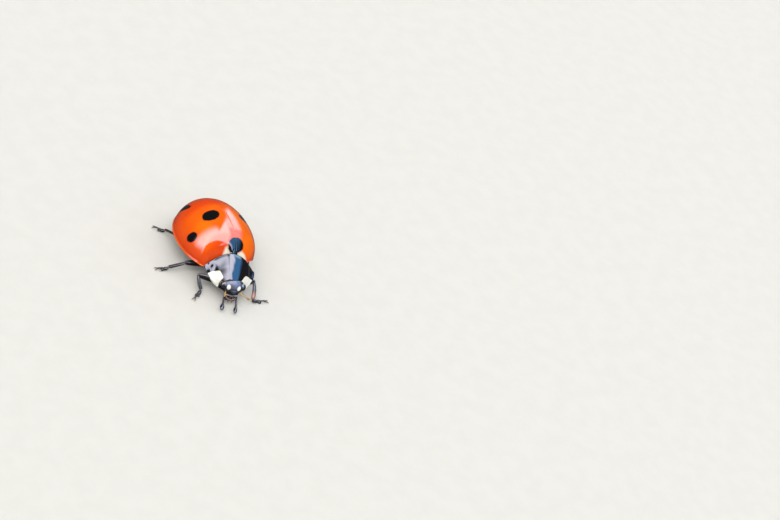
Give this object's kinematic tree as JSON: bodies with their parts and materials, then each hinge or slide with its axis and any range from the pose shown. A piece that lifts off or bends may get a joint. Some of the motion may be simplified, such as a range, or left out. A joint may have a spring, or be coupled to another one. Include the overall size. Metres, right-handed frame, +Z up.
{
  "type": "seven-spot ladybird",
  "caption": "Life-size seven-spot ladybird standing on its feet, glossy orange-red wing cases with black spots, black and white head and shield.",
  "frame": {"origin": "bottom centre of the model's box, on the ground under the feet", "axes": "+Z up, -Y the way the body faces, +X the animal's left"},
  "size_m": [0.0082, 0.0088, 0.0035],
  "materials": {
    "wing_case": "glossy orange-red shell with seven black spots and a cream patch beside the scutellum",
    "black_cuticle": "glossy black, finely pitted, with white side patches",
    "eye": "faceted glossy black",
    "antenna": "satin tan, darker towards the club",
    "mouth_cuticle": "glossy black-brown",
    "leg_cuticle": "satin black with fine pale hairs",
    "underside": "satin black plates with fine hairs and small white side pieces"
  },
  "bodies": {
    "root": {"head": "black_cuticle", "eye_left": "eye", "eye_right": "eye", "antenna_left": "antenna", "antenna_right": "antenna", "palp_left": "mouth_cuticle", "palp_right": "mouth_cuticle", "mouthparts": "mouth_cuticle", "pronotum": "black_cuticle", "scutellum": "black_cuticle", "elytron_left": "wing_case", "elytron_right": "wing_case", "thorax": "underside", "abdomen": "underside", "leg_fore_left_femur": "leg_cuticle", "leg_fore_left_tibia": "leg_cuticle", "leg_fore_left_tarsus": "leg_cuticle", "leg_fore_right_femur": "leg_cuticle", "leg_fore_right_tibia": "leg_cuticle", "leg_fore_right_tarsus": "leg_cuticle", "leg_mid_left_femur": "leg_cuticle", "leg_mid_left_tibia": "leg_cuticle", "leg_mid_left_tarsus": "leg_cuticle", "leg_mid_right_femur": "leg_cuticle", "leg_mid_right_tibia": "leg_cuticle", "leg_mid_right_tarsus": "leg_cuticle", "leg_hind_left_femur": "leg_cuticle", "leg_hind_left_tibia": "leg_cuticle", "leg_hind_left_tarsus": "leg_cuticle", "leg_hind_right_femur": "leg_cuticle", "leg_hind_right_tibia": "leg_cuticle", "leg_hind_right_tarsus": "leg_cuticle"}
  },
  "joints": []
}
